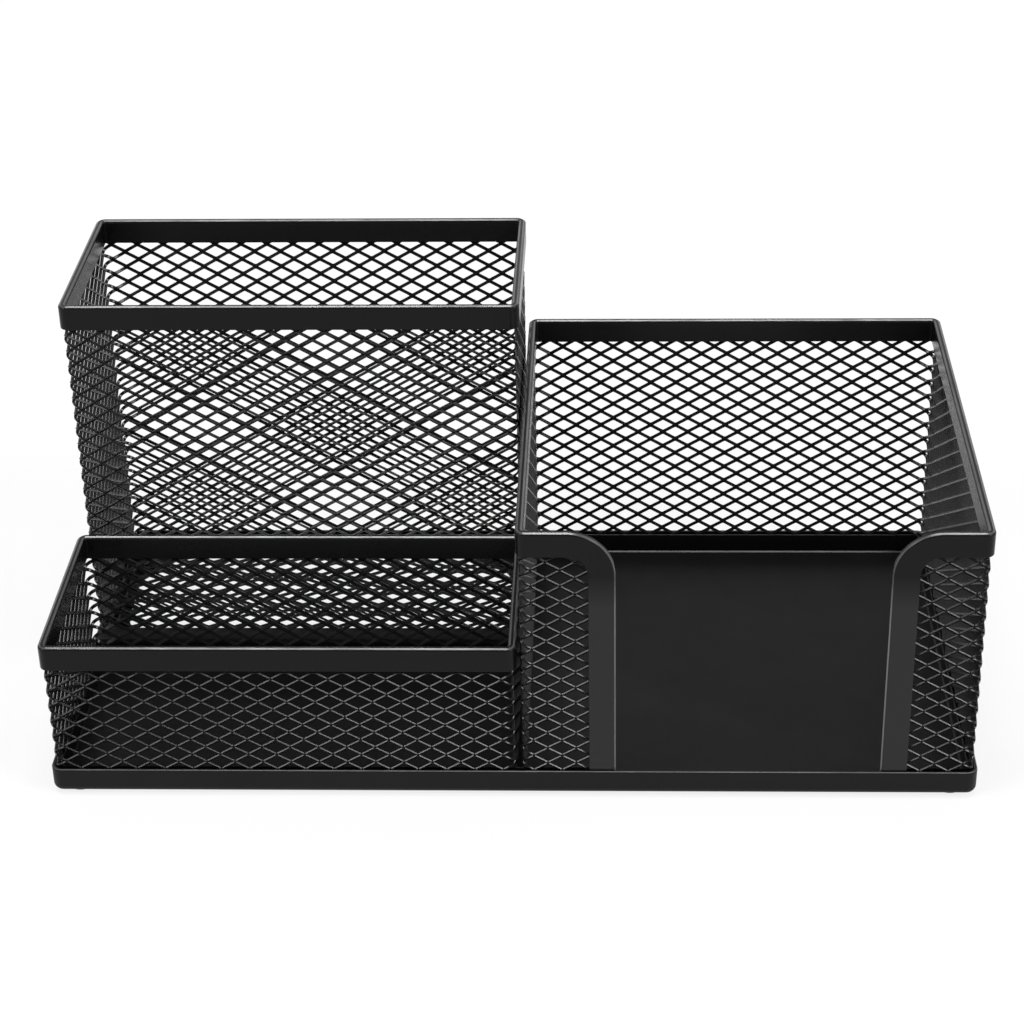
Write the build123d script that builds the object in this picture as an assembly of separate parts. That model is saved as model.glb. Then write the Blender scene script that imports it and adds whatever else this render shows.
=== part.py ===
from build123d import *

import math
import os

# Mesh desk organizer: a pressed base pan that carries three boxes of expanded steel mesh,
# each bound along its open edge by a folded channel. Millimetres, +Z up, +X to the right,
# front towards -Y, origin under the middle of the base on the surface it stands on.

# Base pan
base_width = 205.0
base_depth = 103.0
base_height = 6.0
sheet = 0.8
base_corner_radius = 2.5
base_bend_radius = 1.5
lip_edge = 0.25

# Rubber pads under the corners of the pan
pad_diameter = 8.0
pad_thickness = 0.8
pad_inset = 5.7
pad_edge = 0.2

# Mesh, drawn at a coarser pitch than the rolled sheet, with the same share of open area
mesh_thickness = 0.6
mesh_corner_fold = 1.2
mesh_pitch_long = 20.5
mesh_pitch_short = 15.0
strand_width = 2.4
mesh_border = 0.4

# Channel that binds the open edges
rim_thickness = 1.8
rim_band = 5.8
rim_roof = 0.6
rim_proud = 0.5
rim_corner_radius = 2.2
rim_crown = 0.6

# Boxes: heights from the underside of the pan, widths and depths over the rims
cup_height = 94.0
cup_depth = 49.3
tray_height = 38.0
note_height = 67.0
note_width = 100.3

# Front of the note holder: width of the part at each side of the window, and its rounded shoulder
front_side_width = 21.15
window_radius = 10.5

# Folded divider between the tray and the pen cup
divider_height = 8.0
divider_bend_radius = 1.2

# Opening in the pan under the mesh floor of the pen cup
floor_ledge = 3.0
floor_corner_radius = 14.0

# Clearances
seat_clearance = 0.1
slot_clearance = 0.1
box_gap = 0.3
divider_gap = 5.0
floor_clearance = 0.3
overrun = 5.0

# Levels and faces worked out from the sizes above
pan_under = pad_thickness
pan_floor = pan_under + sheet
pan_top = pan_under + base_height
inner_bend = base_bend_radius - sheet
wall_foot = pan_floor + inner_bend
mesh_limit_x = base_width / 2 - sheet - seat_clearance
mesh_limit_y = base_depth / 2 - sheet - seat_clearance
rim_limit_x = mesh_limit_x + rim_proud
rim_limit_y = mesh_limit_y + rim_proud
left_width = 2 * rim_limit_x - box_gap - note_width
tray_depth = 2 * rim_limit_y - divider_gap - cup_depth
window_width = note_width - 2 * front_side_width
slot_setback = rim_proud - slot_clearance
slot_width = mesh_thickness + 2 * slot_clearance
fold_offset_share = 2 - math.sqrt(2)

SIDES = ("front", "right", "back", "left")


class MeshBox:
    """Outline over the rim and height of one mesh box."""

    def __init__(self, low_x, low_y, width, depth, height):
        self.width = width
        self.depth = depth
        self.centre_x = low_x + width / 2
        self.centre_y = low_y + depth / 2
        self.front_y = low_y
        self.back_y = low_y + depth
        self.top = pan_under + height
        self.mesh_top = self.top - rim_roof
        self.mesh_width = width - 2 * rim_proud
        self.mesh_depth = depth - 2 * rim_proud

    def at(self, level):
        """Place on the middle of the box at one level."""
        return Pos(self.centre_x, self.centre_y, level)


cup = MeshBox(-rim_limit_x, rim_limit_y - cup_depth, left_width, cup_depth, cup_height)
tray = MeshBox(-rim_limit_x, -rim_limit_y, left_width, tray_depth, tray_height)
note = MeshBox(rim_limit_x - note_width, -rim_limit_y, note_width, 2 * rim_limit_y, note_height)

floor_width = cup.mesh_width - 2 * (mesh_thickness + floor_clearance)
floor_depth = cup.mesh_depth - 2 * (mesh_thickness + floor_clearance)
opening_width = floor_width - 2 * floor_ledge
opening_depth = floor_depth - 2 * floor_ledge


def rounded_ring(width, depth, radius, wall):
    """Face of a rounded rectangular ring with an even wall, measured over its outside."""
    inner = RectangleRounded(width - 2 * wall, depth - 2 * wall, radius - wall)
    return RectangleRounded(width, depth, radius) - inner


def folded_outline(width, depth, inset):
    """Outline of a mesh box drawn in from the mesh's outside, with each corner folded as one flat."""
    outline = Rectangle(width - 2 * inset, depth - 2 * inset)
    return chamfer(outline.vertices(), mesh_corner_fold - inset * fold_offset_share)


def folded_ring(width, depth, inset, wall):
    """Ring that follows the mesh, of an even wall, drawn in from the mesh's outside."""
    return folded_outline(width, depth, inset) - folded_outline(width, depth, inset + wall)


def top_edges(shape):
    return shape.faces().sort_by(Axis.Z)[-1].edges()


def bottom_edges(shape):
    return shape.faces().sort_by(Axis.Z)[0].edges()


# Base pan, divider and pads

def make_base_pan():
    """Pressed pan with an upright lip and an opening under the pen cup."""
    outside = extrude(RectangleRounded(base_width, base_depth, base_corner_radius), base_height)
    outside = fillet(bottom_edges(outside), base_bend_radius)
    hollow = RectangleRounded(base_width - 2 * sheet, base_depth - 2 * sheet, base_corner_radius - sheet)
    hollow = extrude(hollow, base_height)
    hollow = chamfer(bottom_edges(hollow), inner_bend)
    pan = outside - Pos(0, 0, sheet) * hollow
    pan = chamfer(top_edges(pan), lip_edge)
    opening = RectangleRounded(opening_width, opening_depth, floor_corner_radius)
    punch = cup.at(pan_under - overrun) * extrude(opening, sheet + 2 * overrun)
    return Pos(0, 0, pan_under) * pan - punch


def make_divider():
    """Folded channel, open below, that fills the gap between the tray and the pen cup."""
    front = tray.back_y - rim_proud + seat_clearance
    back = cup.front_y + rim_proud - seat_clearance
    left = -base_width / 2 + sheet + inner_bend + seat_clearance
    right = tray.centre_x + tray.mesh_width / 2
    outline = Rectangle(back - front, divider_height, align=(Align.CENTER, Align.MIN))
    outline = fillet(outline.vertices().group_by(Axis.Y)[-1], divider_bend_radius)
    inside = Rectangle(back - front - 2 * sheet, divider_height - sheet, align=(Align.CENTER, Align.MIN))
    inside = fillet(inside.vertices().group_by(Axis.Y)[-1], divider_bend_radius - sheet)
    section = Plane(origin=(left, (front + back) / 2, pan_floor), x_dir=(0, 1, 0), z_dir=(1, 0, 0))
    return extrude(section * (outline - inside), right - left)


def make_pad(side_x, side_y):
    pad = Cylinder(pad_diameter / 2, pad_thickness, align=(Align.CENTER, Align.CENTER, Align.MIN))
    pad = chamfer(bottom_edges(pad), pad_edge)
    return Pos(side_x * (base_width / 2 - pad_inset), side_y * (base_depth / 2 - pad_inset), 0) * pad


# Expanded mesh

def diamond_openings(left, right, low, high, left_closed, right_closed):
    """Faces of the openings between four limits, in staggered rows.

    A whole number of diamonds fits each way. At a closed end the last ones are halves, and at an
    open end they run on, so that the strands of neighbouring walls meet at the corner.
    """
    columns = max(1, round((right - left) / mesh_pitch_long))
    rows = max(1, round((high - low) / mesh_pitch_short))
    half_long = (right - left) / columns / 2
    half_short = (high - low) / rows / 2
    strand_free = half_long * half_short / math.hypot(half_long, half_short)
    open_share = 1 - strand_width / 2 / strand_free
    reach = half_long * open_share
    rise = half_short * open_share
    faces = []
    for row in range(2 * rows + 1):
        south = (0, 0 if row == 0 else -rise)
        north = (0, 0 if row == 2 * rows else rise)
        for column in range(row % 2, 2 * columns + 1, 2):
            west = (0 if left_closed and column == 0 else -reach, 0)
            east = (0 if right_closed and column == 2 * columns else reach, 0)
            outline = [tip for tip in (west, south, east, north) if tip != (0, 0)]
            if len(outline) == 2:
                outline.append((0, 0))
            face = make_face(Polyline(*outline, close=True))
            faces.append(Pos(left + column * half_long, low + row * half_short) * face)
    return faces


def wall_size(box, side):
    """Length of a wall over its corners, and the box's size across it."""
    if side in ("front", "back"):
        return box.mesh_width, box.mesh_depth
    return box.mesh_depth, box.mesh_width


def wall_turn(side):
    """Turn about Z that takes the front to this side."""
    return Rot(0, 0, 90 * SIDES.index(side))


def wall_plane(box, side):
    """Plane on a wall's outside: X along the wall, Y up and Z out of the box."""
    across = wall_size(box, side)[1]
    return Plane(box.at(0) * wall_turn(side) * Pos(0, -across / 2, 0) * Rot(90, 0, 0))


def wall_blank(box, side):
    """One side of the wrapped sleeve, parted from its neighbours at the middle of each corner."""
    length, across = wall_size(box, side)
    inner_x = length / 2 - overrun
    outer_x = length / 2 + overrun
    inner_y = -across / 2 + overrun
    outer_y = -across / 2 - overrun
    corners = [(-inner_x, inner_y), (-outer_x, outer_y), (outer_x, outer_y), (inner_x, inner_y)]
    profile = folded_ring(length, across, 0, mesh_thickness) & make_face(Polyline(*corners, close=True))
    return box.at(wall_foot) * wall_turn(side) * extrude(profile, box.mesh_top - wall_foot)


def pierced(blank, plane, faces):
    """The blank with its openings pushed through along the plane's normal."""
    start = plane * Pos(0, 0, overrun)
    punches = [extrude(start * face, -2 * overrun) for face in faces]
    return blank - punches


def wall_corner(box, side):
    """Distance from the middle of a wall to the middle of its folded corner."""
    return (wall_size(box, side)[0] - mesh_corner_fold) / 2


def make_wall(box, side):
    corner = wall_corner(box, side)
    low = pan_top + mesh_border
    high = box.top - rim_band - mesh_border
    faces = diamond_openings(-corner, corner, low, high, False, False)
    return pierced(wall_blank(box, side), wall_plane(box, side), faces)


def make_cup_floor():
    """Flat mesh panel that lies on the ledge round the opening in the pan."""
    panel = folded_outline(cup.mesh_width, cup.mesh_depth, mesh_thickness + floor_clearance)
    blank = cup.at(pan_floor) * extrude(panel, mesh_thickness)
    side = opening_width / 2
    end = opening_depth / 2
    return pierced(blank, Plane(cup.at(pan_floor)), diamond_openings(-side, side, -end, end, True, True))


# Binding channels

def rim_ring(box):
    """Channel along the top edge of a box: a band with a bevelled crown, slotted from below."""
    ring = extrude(rounded_ring(box.width, box.depth, rim_corner_radius, rim_thickness), rim_band)
    ring = chamfer(top_edges(ring), rim_crown)
    slot = folded_ring(box.mesh_width, box.mesh_depth, -slot_clearance, slot_width)
    return box.at(box.top - rim_band) * (ring - extrude(slot, rim_band - rim_roof))


# Front of the note holder, where the channel turns down beside the window

def front_outline(left, inset):
    """Front to the left of the window, seen from outside, drawn in from the rim's free edge."""
    right = -window_width / 2 - inset
    top = note.top - inset
    outline = Rectangle(right - left, top - wall_foot, align=(Align.MIN, Align.MIN))
    outline = Pos(left, wall_foot) * outline
    corner = outline.vertices().group_by(Axis.X)[-1].sort_by(Axis.Y)[-1]
    return fillet(corner, window_radius - inset)


def front_plane(setback):
    """Upright plane that faces forward, set back from the front of the rim."""
    origin = (note.centre_x, note.front_y + setback, 0)
    return Plane(origin=origin, x_dir=(1, 0, 0), z_dir=(0, -1, 0))


def is_free_edge(edge):
    """True for the long edges of the front channel that face up or face the window."""
    if edge.geom_type == GeomType.CIRCLE:
        return edge.radius > window_radius - rim_crown
    if abs((edge @ 1 - edge @ 0).Y) > rim_crown:
        return False
    middle = edge.center()
    faces_up = note.top - middle.Z < rim_crown
    faces_window = note.centre_x - window_width / 2 - middle.X < rim_crown
    return faces_up or faces_window


def front_channel():
    """Band and post at the left of the window, as one bent channel."""
    left = rim_corner_radius - note.width / 2
    band = front_outline(left, 0) - front_outline(left, rim_band)
    channel = extrude(front_plane(0) * band, -rim_thickness)
    channel = chamfer([edge for edge in channel.edges() if is_free_edge(edge)], rim_crown)
    slot = front_outline(left, rim_roof)
    channel -= extrude(front_plane(slot_setback) * slot, -slot_width)
    tuck = Rectangle(note.width, pan_top + seat_clearance, align=(Align.CENTER, Align.MIN))
    return channel - extrude(front_plane(-overrun) * tuck, -(overrun + rim_proud))


def mirrored(shape):
    """The same piece on the other side of the note holder's middle."""
    return mirror(shape, about=Plane(origin=(note.centre_x, 0, 0), x_dir=(0, 1, 0), z_dir=(1, 0, 0)))


def make_note_rim():
    """Channel along three sides and the two front bands, with posts down to the pan."""
    straight = note.width - 2 * rim_corner_radius
    front = Box(straight, 2 * (rim_thickness + overrun), 2 * (rim_band + overrun))
    ring = rim_ring(note) - Pos(note.centre_x, note.front_y, note.top) * front
    channel = front_channel()
    return ring + channel + mirrored(channel)


def make_note_front():
    """Mesh between the left corner and the window, tucked into the bent channel."""
    keep = extrude(front_plane(-overrun) * front_outline(-note.width / 2, rim_roof), -2 * overrun)
    right = -window_width / 2 - rim_band - mesh_border
    low = pan_top + mesh_border
    high = note.top - rim_band - mesh_border
    faces = diamond_openings(-wall_corner(note, "front"), right, low, high, False, True)
    return pierced(wall_blank(note, "front") & keep, wall_plane(note, "front"), faces)


# Every piece by its name

pieces = {
    "base_pan": make_base_pan(),
    "divider_channel": make_divider(),
    "pen_cup_floor_mesh": make_cup_floor(),
    "pen_cup_rim": rim_ring(cup),
    "clip_tray_rim": rim_ring(tray),
    "note_holder_rim": make_note_rim(),
}

for side in SIDES:
    pieces[f"pen_cup_{side}_mesh"] = make_wall(cup, side)
    pieces[f"clip_tray_{side}_mesh"] = make_wall(tray, side)

for side in ("right", "back", "left"):
    pieces[f"note_holder_{side}_mesh"] = make_wall(note, side)

pieces["note_holder_front_left_mesh"] = make_note_front()
pieces["note_holder_front_right_mesh"] = mirrored(pieces["note_holder_front_left_mesh"])

for row, side_y in (("front", -1), ("back", 1)):
    for end, side_x in (("left", -1), ("right", 1)):
        pieces[f"foot_pad_{row}_{end}"] = make_pad(side_x, side_y)

os.makedirs("parts", exist_ok=True)
for name, piece in pieces.items():
    export_step(piece, f"parts/{name}.step")
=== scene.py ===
"""Mesh desk organizer: a pressed pan, three sleeves of expanded steel mesh and their binding channels.

Lengths are metres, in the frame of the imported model: +Z up, front towards -Y.
"""

import math
from functools import partialmethod

import bmesh
import bpy
from bpy.props import FloatProperty, FloatVectorProperty, IntProperty, PointerProperty
from mathutils import Matrix, Vector


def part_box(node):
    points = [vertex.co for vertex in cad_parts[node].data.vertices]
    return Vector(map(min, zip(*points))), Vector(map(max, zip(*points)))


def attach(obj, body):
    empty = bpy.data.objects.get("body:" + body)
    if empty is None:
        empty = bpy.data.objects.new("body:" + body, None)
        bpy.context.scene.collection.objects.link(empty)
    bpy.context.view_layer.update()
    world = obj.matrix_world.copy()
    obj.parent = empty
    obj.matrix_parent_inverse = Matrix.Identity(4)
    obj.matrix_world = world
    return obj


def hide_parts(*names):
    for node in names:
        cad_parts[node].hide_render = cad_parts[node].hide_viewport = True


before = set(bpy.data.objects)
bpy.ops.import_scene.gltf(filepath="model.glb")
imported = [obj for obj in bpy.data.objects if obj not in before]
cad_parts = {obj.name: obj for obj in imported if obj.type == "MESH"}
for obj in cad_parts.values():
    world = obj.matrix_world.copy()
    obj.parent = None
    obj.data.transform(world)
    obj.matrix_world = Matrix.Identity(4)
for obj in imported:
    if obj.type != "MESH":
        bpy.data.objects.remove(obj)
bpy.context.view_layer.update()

bl_info = {
    "name": "Mesh Desk Organizer",
    "version": (1, 0, 0),
    "blender": (4, 5, 0),
    "location": "View3D > Sidebar > Organizer",
    "description": "Makes a coated steel mesh desk organizer round its packed frame",
    "category": "Object",
}

BODY = "root"
HIGHLIGHT_ATTRIBUTE = "rub"
UP = Vector((0, 0, 1))
BACKWARDS = Vector((0, 1, 0))
BOXES = ("pen_cup", "clip_tray")
# Turn of a section along a level path, and along one that starts up a post
LEVEL_TURN = -math.pi / 2
POST_TURN = 0.0
# Highlight depth for pieces that get no painted highlight
NO_HIGHLIGHT = 0.0
# Points that lie closer are one, and a path that turns less counts as straight
SAME_PLACE = 1e-7
STRAIGHT_COSINE = 0.9999
# How far the points beside a bend stand from it, in its own steps
LEAD_SHARE = 0.25
CLIP_START = 0.01
# Places of the softboxes in a group, in steps from its middle
KEY_STEPS = (-1, 0, 1)
SIDE_STEPS = (-0.5, 0.5)


# Sizes and colours that a user would change

def property_kind(make, **options):
    """Function that makes one kind of property from its name, description and default."""
    def made(name, description, default):
        return make(name=name, description=description, default=default, **options)
    return made


length = property_kind(FloatProperty, unit="LENGTH", precision=5)
share = property_kind(FloatProperty, min=0, max=1, subtype="FACTOR")
colour = property_kind(FloatVectorProperty, size=3, min=0, max=1, subtype="COLOR")
number = property_kind(FloatProperty)
count = property_kind(IntProperty)
radians = property_kind(FloatProperty, unit="ROTATION")


def angle(name, description, degrees):
    return radians(name, description, math.radians(degrees))


class PanSizes(bpy.types.PropertyGroup):
    """Pressed pan under the three boxes."""

    sheet: length("Sheet", "Thickness of the pan's sheet", 0.0008)
    corner_radius: length("Corner", "Outer radius of the corners seen from above", 0.0025)
    bend_radius: length("Bend", "Outer radius of the bend into the lip", 0.0015)
    floor_margin: length("Floor Margin", "Width of floor that is drawn with the lip", 0.0024)
    opening_ledge: length("Opening Ledge", "Floor left under the edge of the mesh panel", 0.003)
    opening_radius: length("Opening Corner", "Corner radius of the opening under the pen cup", 0.014)
    burr_radius: length("Opening Edge", "Rounding of the punched edge", 0.0002)
    hem: length("Hem", "Thickness of the strip inside the lip", 0.0005)
    hem_setback: length("Hem Setback", "From the outside of the pan to the strip", 0.00175)
    hem_drop: length("Hem Drop", "From the top of the lip down to the strip", 0.0002)
    hem_foot: length("Hem Foot", "Width of the slope at the foot of the strip", 0.00045)
    hem_sink: length("Hem Sink", "How deep the foot sits in the floor", 0.0001)
    corner_steps: count("Corner Steps", "Faces round each corner", 14)
    bend_steps: count("Bend Steps", "Faces round each bend", 6)
    burr_steps: count("Opening Steps", "Faces round the punched edge", 3)
    hem_steps: count("Hem Steps", "Faces round the top of the strip", 8)


class MeshSizes(bpy.types.PropertyGroup):
    """Expanded mesh of the walls and of the pen cup's floor."""

    long_way: length("Long Way", "Width of one diamond between bonds", 0.00625)
    short_way: length("Short Way", "Height of one diamond between bonds", 0.004)
    bond: length("Bond", "Length over which two strands stay joined", 0.00045)
    lap: length("Lap", "Distance of each strand from the middle of a bond", 0.00022)
    strand_width: length("Strand Width", "Width of one strand in the sheet", 0.00080)
    strand_thickness: length("Strand Thickness", "Thickness of one strand across the sheet", 0.00044)
    strand_lean: angle("Strand Lean", "Turn of each strand out of the sheet", 40)
    strand_edge: length("Strand Edge", "Bevel of a strand's cut edges", 0.00010)
    strand_crease: angle("Strand Crease", "Turn between faces above which an edge shows", 20)
    corner_radius: length("Corner", "Radius of the sheet's middle round a corner", 0.0012)
    corner_steps: count("Corner Steps", "Straights that make up each corner", 12)
    corner_cuts: count("Corner Cuts", "Extra points of a strand in a bend", 5)
    setback: length("Setback", "From the outside of a rim to the mesh", 0.0009)
    trim: length("Trim", "How far the mesh stops short of the free edge", 0.0009)


class ChannelSizes(bpy.types.PropertyGroup):
    """Folded channel that binds the open edges."""

    thickness: length("Thickness", "Width over both legs", 0.0018)
    band: length("Band", "Height of the legs", 0.0058)
    sheet: length("Sheet", "Thickness of each leg", 0.0005)
    crown: length("Crown", "Radius of the bends into the legs", 0.0006)
    ridge: length("Ridge", "Radius of the bends beside the top", 0.00025)
    shoulder: length("Shoulder", "Width of the pressed slopes beside the top", 0.0004)
    shoulder_slope: angle("Shoulder Slope", "Slope of the shoulders", 32)
    hem: length("Hem", "Radius of the cut edge of a leg", 0.00012)
    corner_radius: length("Corner", "Outer radius of the corners seen from above", 0.0022)
    front_side: length("Front Side", "Width of the front beside the window", 0.02115)
    window_radius: length("Window Corner", "Radius of the free edge beside the window", 0.0105)
    joggle: length("Joggle", "Set-in of the posts behind the pan's lip", 0.0005)
    joggle_run: length("Joggle Run", "Height over which a post sets in", 0.0006)
    crown_steps: count("Crown Steps", "Faces round each bend of a folded edge", 5)
    corner_steps: count("Corner Steps", "Faces round each corner", 12)
    window_steps: count("Window Steps", "Faces round each window corner", 20)
    hem_steps: count("Hem Steps", "Faces round the cut edge of a leg", 3)


class DividerSizes(bpy.types.PropertyGroup):
    """Folded channel between the tray and the pen cup."""

    sheet: length("Sheet", "Thickness of the divider's sheet", 0.0008)
    bend_radius: length("Bend", "Outer radius of the two folds", 0.0012)
    bend_steps: count("Bend Steps", "Faces round each fold", 6)


class PadSizes(bpy.types.PropertyGroup):
    """Rubber pads under the pan."""

    edge: length("Edge", "Rounding of the lower edge", 0.00025)
    sides: count("Sides", "Faces round one pad", 48)
    edge_steps: count("Edge Steps", "Faces round the lower edge", 4)


class Finishes(bpy.types.PropertyGroup):
    """Colours and surface of the coat and the rubber."""

    coat_dark: colour("Coat", "Powder coat in its darker places", (0.0033, 0.0033, 0.0035))
    coat_light: colour("Coat Light", "Powder coat where it is thinner", (0.0052, 0.0052, 0.0055))
    coat_smooth: share("Coat Smooth", "Least roughness of the coat", 0.20)
    coat_rough: share("Coat Rough", "Greatest roughness of the coat", 0.28)
    mesh_specular: share("Mesh Gloss", "Specular level of the coat on the mesh", 0.25)
    rim_specular: share("Rim Gloss", "Specular level of the coat on the channels", 0.15)
    pan_specular: share("Pan Gloss", "Specular level of the pan's satin coat", 0.17)
    coat_peel: share("Orange Peel", "Strength of the coat's fine unevenness", 0.12)
    pan_smooth: share("Pan Smooth", "Least roughness of the pan's satin coat", 0.40)
    pan_rough: share("Pan Rough", "Greatest roughness of the pan's satin coat", 0.52)
    # Painted highlight: a light colour and a share of steel on the shoulders of the folded edges, in a band
    # from the top down to a depth
    rub_colour: colour("Rubbed Edge", "Coat where hands have rubbed it thin", (0.11, 0.11, 0.112))
    rub_metal: share("Rubbed Steel", "Share of steel in the rubbed places", 0.35)
    # The posts are painted paler below the bend of the window, and a highlight is painted on their edges
    post_paler_colour: colour("Posts", "Coat worn by hands beside the window", (0.021, 0.021, 0.0213))
    post_edge_highlight: colour("Post Edges", "Rubbed edges of the posts", (0.26, 0.26, 0.264))
    post_fade: length("Post Fade", "Height over which the wear fades out", 0.008)
    rub_top: length("Rub Top", "Where the rubbing starts below the top", 0.00003)
    rub_depth: length("Rub Depth", "How far down a folded edge is rubbed", 0.00026)
    rubber_dark: colour("Rubber", "Rubber of the pads", (0.012, 0.012, 0.012))
    rubber_light: colour("Rubber Light", "Rubber where it is dusty", (0.03, 0.03, 0.031))
    rubber_smooth: share("Rubber Smooth", "Least roughness of the rubber", 0.75)
    rubber_rough: share("Rubber Rough", "Greatest roughness of the rubber", 0.95)
    rubber_specular: share("Rubber Gloss", "Specular level of the rubber", 0.25)
    rubber_grain: share("Rubber Grain", "Strength of the rubber's grain", 0.3)


class StageSettings(bpy.types.PropertyGroup):
    """Floor, light and camera."""

    floor_size: length("Floor", "Side of the floor", 12.0)
    floor_colour: colour("Floor Colour", "Pale floor", (0.8, 0.8, 0.8))
    floor_glow: share("Floor Glow", "Share of white in the floor that is seen", 0.82)
    room_light: number("Room Light", "Light of the room above its white walls", 0.15)
    wall_low: share("Wall Top", "Height up to which the walls are white", 0.16)
    wall_high: share("Wall Fade", "Height where the white has faded", 0.40)
    wall_rise: share("Backdrop Rise", "How much higher the white stands behind", 0.5)
    key_light: number("Key Light", "Light of the softboxes overhead", 1.85)
    key_spread: angle("Key Spread", "Width of each softbox overhead", 12)
    key_tilt: angle("Key Tilt", "How far they stand to the left", 2.3)
    key_step: angle("Key Step", "Turn between the softboxes overhead", 10)
    key_forward: angle("Key Forward", "How far they stand in front", 3)
    left_light: number("Left Light", "Light of the softboxes at the left", 1.05)
    right_light: number("Right Light", "Light of the softboxes at the right", 1.5)
    side_spread: angle("Side Spread", "Width of each softbox at the sides", 12)
    side_height: angle("Side Height", "Height of the softboxes at the sides", 36)
    side_rise: angle("Side Rise", "Height of one softbox over the other", 5.5)
    side_turn: angle("Side Turn", "How far they stand forward", 25.5)
    side_step: angle("Side Step", "Turn between two at a side", 9)
    camera_place: FloatVectorProperty(name="Camera", description="Place of the camera", size=3,
                                      default=(0.02289, -0.47903, 0.32779), subtype="TRANSLATION")
    camera_pitch: angle("Pitch", "How far the camera looks down", 28.789)
    camera_yaw: angle("Yaw", "How far the camera turns to the right", -1.974)
    camera_roll: angle("Roll", "Turn of the camera about its view", -0.99)
    camera_lens: number("Lens", "Focal length in millimetres", 84.49)
    camera_shift: FloatVectorProperty(name="Shift", description="Lens shift", size=2, default=(-0.03, -0.08))


class OrganizerSettings(bpy.types.PropertyGroup):
    """All settings of the organizer."""

    pan: PointerProperty(type=PanSizes)
    mesh: PointerProperty(type=MeshSizes)
    channel: PointerProperty(type=ChannelSizes)
    divider: PointerProperty(type=DividerSizes)
    pad: PointerProperty(type=PadSizes)
    finish: PointerProperty(type=Finishes)
    stage: PointerProperty(type=StageSettings)


def settings():
    return bpy.context.scene.organizer


# Places read from the frame

class Plan:
    """Outline seen from above, with its lowest and highest level."""

    def __init__(self, left, right, front, back, foot, top):
        self.left = left
        self.right = right
        self.front = front
        self.back = back
        self.foot = foot
        self.top = top

    def inset(self, distance):
        return Plan(self.left + distance, self.right - distance, self.front + distance,
                    self.back - distance, self.foot, self.top)


def node_plan(*nodes):
    """Plan round one or more nodes of the frame."""
    boxes = [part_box(node) for node in nodes]
    low = [min(box[0][axis] for box in boxes) for axis in range(3)]
    high = [max(box[1][axis] for box in boxes) for axis in range(3)]
    return Plan(low[0], high[0], low[1], high[1], low[2], high[2])


def wall_nodes(box):
    """Names of the mesh walls of one box in the frame."""
    return sorted(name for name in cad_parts
                  if name.startswith(box) and name.endswith("_mesh") and "floor" not in name)


# Lines, arcs and pieces

def arc(centre, radius, start, end, steps):
    """Points on an arc in a plane, both ends among them, angles in degrees."""
    points = []
    for step in range(steps + 1):
        turn = math.radians(start + (end - start) * step / steps)
        points.append((centre[0] + radius * math.cos(turn), centre[1] + radius * math.sin(turn)))
    return points


def bend(centre, radius, start, end, steps):
    """An arc with one point a little before and after it, which keeps the straights beside it flat."""
    points = arc(centre, radius, start, end, steps)
    lead = LEAD_SHARE * radius * math.radians(end - start) / steps
    first, last = math.radians(start), math.radians(end)
    before = (points[0][0] + lead * math.sin(first), points[0][1] - lead * math.cos(first))
    after = (points[-1][0] - lead * math.sin(last), points[-1][1] + lead * math.cos(last))
    return [before, *points, after]


def rounded_outline(plan, radius, steps):
    """Corners of a rounded rectangle from the front right, counter-clockwise seen from above."""
    low_x, high_x = plan.left + radius, plan.right - radius
    low_y, high_y = plan.front + radius, plan.back - radius
    centres = ((high_x, low_y, -90), (high_x, high_y, 0), (low_x, high_y, 90), (low_x, low_y, 180))
    return [bend((x, y), radius, start, start + 90, steps) for x, y, start in centres]


def rounded_path(plan, radius, steps):
    """The same corners as one list of points."""
    return [point for corner in rounded_outline(plan, radius, steps) for point in corner]


def placed(name, data):
    """New object in the scene."""
    thing = bpy.data.objects.new(name, data)
    bpy.context.scene.collection.objects.link(thing)
    return thing


def drawn_path(name, points, closed):
    """Curve through the points, for a tree to follow."""
    data = bpy.data.curves.new(name, "CURVE")
    data.dimensions = "3D"
    spline = data.splines.new("POLY")
    spline.points.add(len(points) - 1)
    for place, point in zip(spline.points, points):
        place.co = (*point, 1)
    spline.use_cyclic_u = closed
    return placed(name, data)


def shell_mesh(name, shell):
    """Mesh made from the shell, which is used up."""
    mesh = bpy.data.meshes.new(name)
    shell.to_mesh(mesh)
    shell.free()
    return mesh


def merge_points(mesh):
    """Joins doubled points and turns every face outwards."""
    shell = bmesh.new()
    shell.from_mesh(mesh)
    bmesh.ops.remove_doubles(shell, verts=shell.verts, dist=SAME_PLACE)
    bmesh.ops.recalc_face_normals(shell, faces=shell.faces)
    shell.to_mesh(mesh)
    shell.free()


def finish_piece(name, mesh, nodes, creased=False):
    """Adds the mesh as a piece that stands for these nodes of the frame."""
    mesh.name = name
    mesh.shade_smooth()
    if creased:
        mesh.set_sharp_from_angle(angle=settings().mesh.strand_crease)
    piece = placed(name, mesh)
    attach(piece, BODY)
    if nodes:
        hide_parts(*nodes)


# Nodes

class Field:
    """Output of a node, which can be reckoned with."""

    def __init__(self, nodes, socket):
        self.nodes = nodes
        self.socket = socket

    def reckon(self, operation, *others):
        return self.nodes.math(operation, self, *others)

    __add__ = partialmethod(reckon, "ADD")
    __sub__ = partialmethod(reckon, "SUBTRACT")
    __mul__ = partialmethod(reckon, "MULTIPLY")
    __truediv__ = partialmethod(reckon, "DIVIDE")
    __mod__ = partialmethod(reckon, "FLOORED_MODULO")
    __gt__ = partialmethod(reckon, "GREATER_THAN")
    __lt__ = partialmethod(reckon, "LESS_THAN")
    __abs__ = partialmethod(reckon, "ABSOLUTE")
    __round__ = partialmethod(reckon, "ROUND")
    __floor__ = partialmethod(reckon, "FLOOR")


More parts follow.
